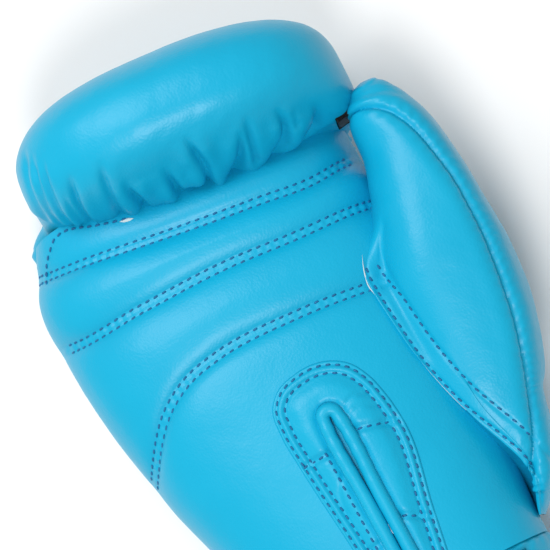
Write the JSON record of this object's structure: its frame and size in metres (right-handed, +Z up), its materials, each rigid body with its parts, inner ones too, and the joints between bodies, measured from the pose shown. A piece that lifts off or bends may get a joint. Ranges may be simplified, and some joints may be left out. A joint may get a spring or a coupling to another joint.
{
  "type": "boxing glove",
  "caption": "Padded right-hand boxing glove with finger roll, stitched palm pads, tied thumb, wrist slit and a hook-and-loop wrist strap.",
  "frame": {"origin": "bottom centre of the whole glove, lying on its back with the palm up", "axes": "+X across the hand towards the thumb, +Y from the cuff to the knuckles, +Z up out of the palm"},
  "size_m": [0.1914, 0.314, 0.1224],
  "materials": {
    "leather": "semi-gloss coated leather with fine grain",
    "foam": "matt foam padding",
    "lining": "woven nylon",
    "black_tie": "semi-gloss coated leather",
    "binding": "woven tape",
    "elastic": "ribbed elastic webbing",
    "tape": "hook-and-loop pile"
  },
  "bodies": {
    "glove": {"back_cover": "leather", "palm_cover": "leather", "slit_patch": "leather", "slit_piping": "leather", "thumb_inner_cover": "leather", "thumb_outer_cover": "leather", "cuff_cover": "leather", "strap_anchor": "leather", "fist_foam": "foam", "palm_backing_foam": "foam", "finger_pad": "foam", "grip_bar": "foam", "centre_pad": "foam", "heel_pad": "foam", "slit_pads": "foam", "thumb_foam": "foam", "cuff_back_pad": "foam", "cuff_pad_thumb_side": "foam", "cuff_pad_little_finger_side": "foam", "pocket_lining": "lining", "thumb_tie": "black_tie", "cuff_binding": "binding", "slit_elastic": "elastic", "loop_tape": "tape"},
    "strap_near": {"strap_panel_1": "leather"},
    "strap_middle": {"strap_panel_2": "leather"},
    "strap_end": {"strap_panel_3": "leather", "hook_tape": "tape"}
  },
  "joints": [
    {"name": "strap_peel_near", "type": "hinge", "parent": "glove", "child": "strap_near", "pos_m": [0.02128, -0.12729, 0.08701], "axis": [0, 1, 0], "range_deg": [0, 60]},
    {"name": "strap_peel_middle", "type": "hinge", "parent": "strap_near", "child": "strap_middle", "pos_m": [-0.01375, -0.12729, 0.08994], "axis": [0, 1, 0], "range_deg": [0, 45]},
    {"name": "strap_peel_end", "type": "hinge", "parent": "strap_middle", "child": "strap_end", "pos_m": [-0.05196, -0.12729, 0.07759], "axis": [0, 1, 0], "range_deg": [0, 75]}
  ],
  "couplings": [
    {"joint": "strap_peel_middle", "follows": "strap_peel_near", "ratio": 0.75},
    {"joint": "strap_peel_end", "follows": "strap_peel_near", "ratio": 1.25}
  ]
}
